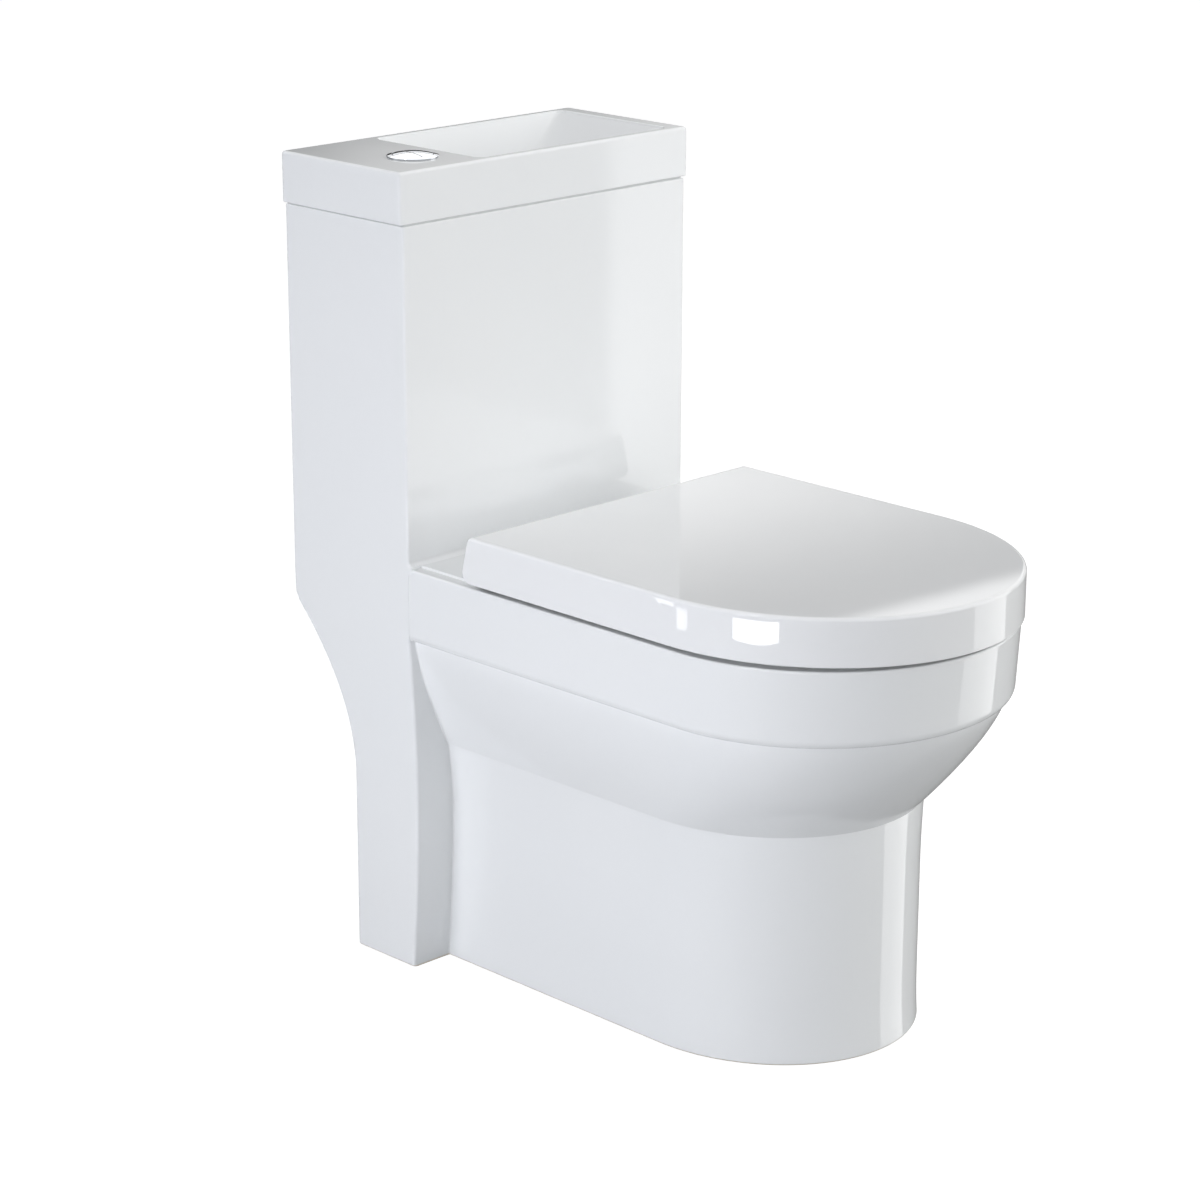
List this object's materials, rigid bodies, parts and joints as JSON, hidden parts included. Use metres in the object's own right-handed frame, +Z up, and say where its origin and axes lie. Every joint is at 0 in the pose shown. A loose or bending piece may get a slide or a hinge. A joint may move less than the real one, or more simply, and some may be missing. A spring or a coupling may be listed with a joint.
{
  "type": "toilet with basin on cistern",
  "caption": "One-piece floor-standing toilet with a hand basin set into the top of its cistern, a wrap-over lid and seat on post hinges, and a dual flush button.",
  "frame": {"origin": "centre of the overall box at floor level; the wall plane lies at y = +0.3475 m", "axes": "+Z up, -Y towards the front of the pan, +X to the right seen from the front"},
  "size_m": [0.37, 0.695, 0.772],
  "materials": {
    "ware": "white vitreous china, slip cast and glazed to a high gloss",
    "seat_plastic": "white thermoset plastic, compression moulded, glossy",
    "seal_rubber": "moulded rubber",
    "buffer_rubber": "pale moulded rubber",
    "chrome": "polished chrome plating",
    "steel": "drawn stainless steel",
    "brass": "turned brass",
    "valve_plastic": "injection-moulded plastic"
  },
  "bodies": {
    "ware": {"pan": "ware", "bowl": "ware", "cistern_stand": "ware", "cistern": "ware", "basin": "ware", "basin_seal": "buffer_rubber", "basin_waste": "chrome", "waste_gasket": "seal_rubber", "waste_backnut": "brass", "waste_tailpipe": "valve_plastic", "button_ring": "chrome", "button_locknut": "valve_plastic", "full_button_spring": "steel", "half_button_spring": "steel", "valve_seat": "valve_plastic", "valve_gasket": "seal_rubber", "valve_tower": "valve_plastic", "valve_bolts": "brass", "valve_nuts": "brass", "rocker_pins": "steel", "fill_valve": "valve_plastic", "fill_valve_head": "valve_plastic", "fill_valve_washer": "seal_rubber", "fill_valve_nut": "valve_plastic", "float_lever_pin": "steel", "hinge_posts": "chrome", "hinge_pins": "steel", "hinge_gaskets": "seal_rubber", "hinge_bolts": "brass", "hinge_sleeves": "seal_rubber"},
    "seat": {"seat": "seat_plastic", "seat_buffers": "buffer_rubber", "seat_dampers": "valve_plastic"},
    "lid": {"lid": "seat_plastic", "lid_buffers": "buffer_rubber"},
    "full_button": {"full_flush_button": "chrome", "full_push_rod": "valve_plastic"},
    "half_button": {"half_flush_button": "chrome", "half_push_rod": "valve_plastic"},
    "full_rocker": {"full_flush_rocker": "valve_plastic"},
    "half_rocker": {"half_flush_rocker": "valve_plastic"},
    "flush_tube": {"overflow_tube": "valve_plastic", "flush_seal": "seal_rubber"},
    "vent": {"vent_rod": "valve_plastic"},
    "float": {"float_cup": "valve_plastic"},
    "float_arm": {"float_lever": "valve_plastic"}
  },
  "joints": [
    {"name": "seat_hinge", "type": "hinge", "parent": "ware", "child": "seat", "pos_m": [0, 0.0935, 0.422], "axis": [-1, 0, 0], "range_deg": [0, 95]},
    {"name": "lid_hinge", "type": "hinge", "parent": "seat", "child": "lid", "pos_m": [0, 0.0935, 0.422], "axis": [1, 0, 0], "range_deg": [-95, 0]},
    {"name": "full_flush", "type": "slide", "parent": "ware", "child": "full_button", "axis": [0, 0, 1], "range_m": [-0.006, 0], "stiffness_N_per_m": 400, "springref_m": 0.005, "deforming": ["full_button_spring"]},
    {"name": "half_flush", "type": "slide", "parent": "ware", "child": "half_button", "axis": [0, 0, 1], "range_m": [-0.006, 0], "stiffness_N_per_m": 400, "springref_m": 0.005, "deforming": ["half_button_spring"]},
    {"name": "full_rocker_pivot", "type": "hinge", "parent": "ware", "child": "full_rocker", "pos_m": [-0.112, 0.2565, 0.612], "axis": [1, 0, 0], "range_deg": [0, 19.2]},
    {"name": "half_rocker_pivot", "type": "hinge", "parent": "ware", "child": "half_rocker", "pos_m": [-0.131, 0.2565, 0.612], "axis": [1, 0, 0], "range_deg": [0, 19.2]},
    {"name": "tube_lift", "type": "slide", "parent": "ware", "child": "flush_tube", "axis": [0, 0, 1], "range_m": [0, 0.006]},
    {"name": "vent_lift", "type": "slide", "parent": "ware", "child": "vent", "axis": [0, 0, 1], "range_m": [0, 0.006]},
    {"name": "float_slide", "type": "slide", "parent": "ware", "child": "float", "axis": [0, 0, 1], "range_m": [0, 0.01]},
    {"name": "float_arm_pivot", "type": "hinge", "parent": "ware", "child": "float_arm", "pos_m": [0.122, 0.2835, 0.5495], "axis": [-1, 0, 0], "range_deg": [0, 11.4]}
  ],
  "couplings": [
    {"joint": "full_rocker_pivot", "follows": "full_flush", "rad_per_m": -55.556},
    {"joint": "tube_lift", "follows": "full_flush", "ratio": -1},
    {"joint": "half_rocker_pivot", "follows": "half_flush", "rad_per_m": -55.556},
    {"joint": "vent_lift", "follows": "half_flush", "ratio": -1},
    {"joint": "float_arm_pivot", "follows": "float_slide", "rad_per_m": 19.802}
  ]
}
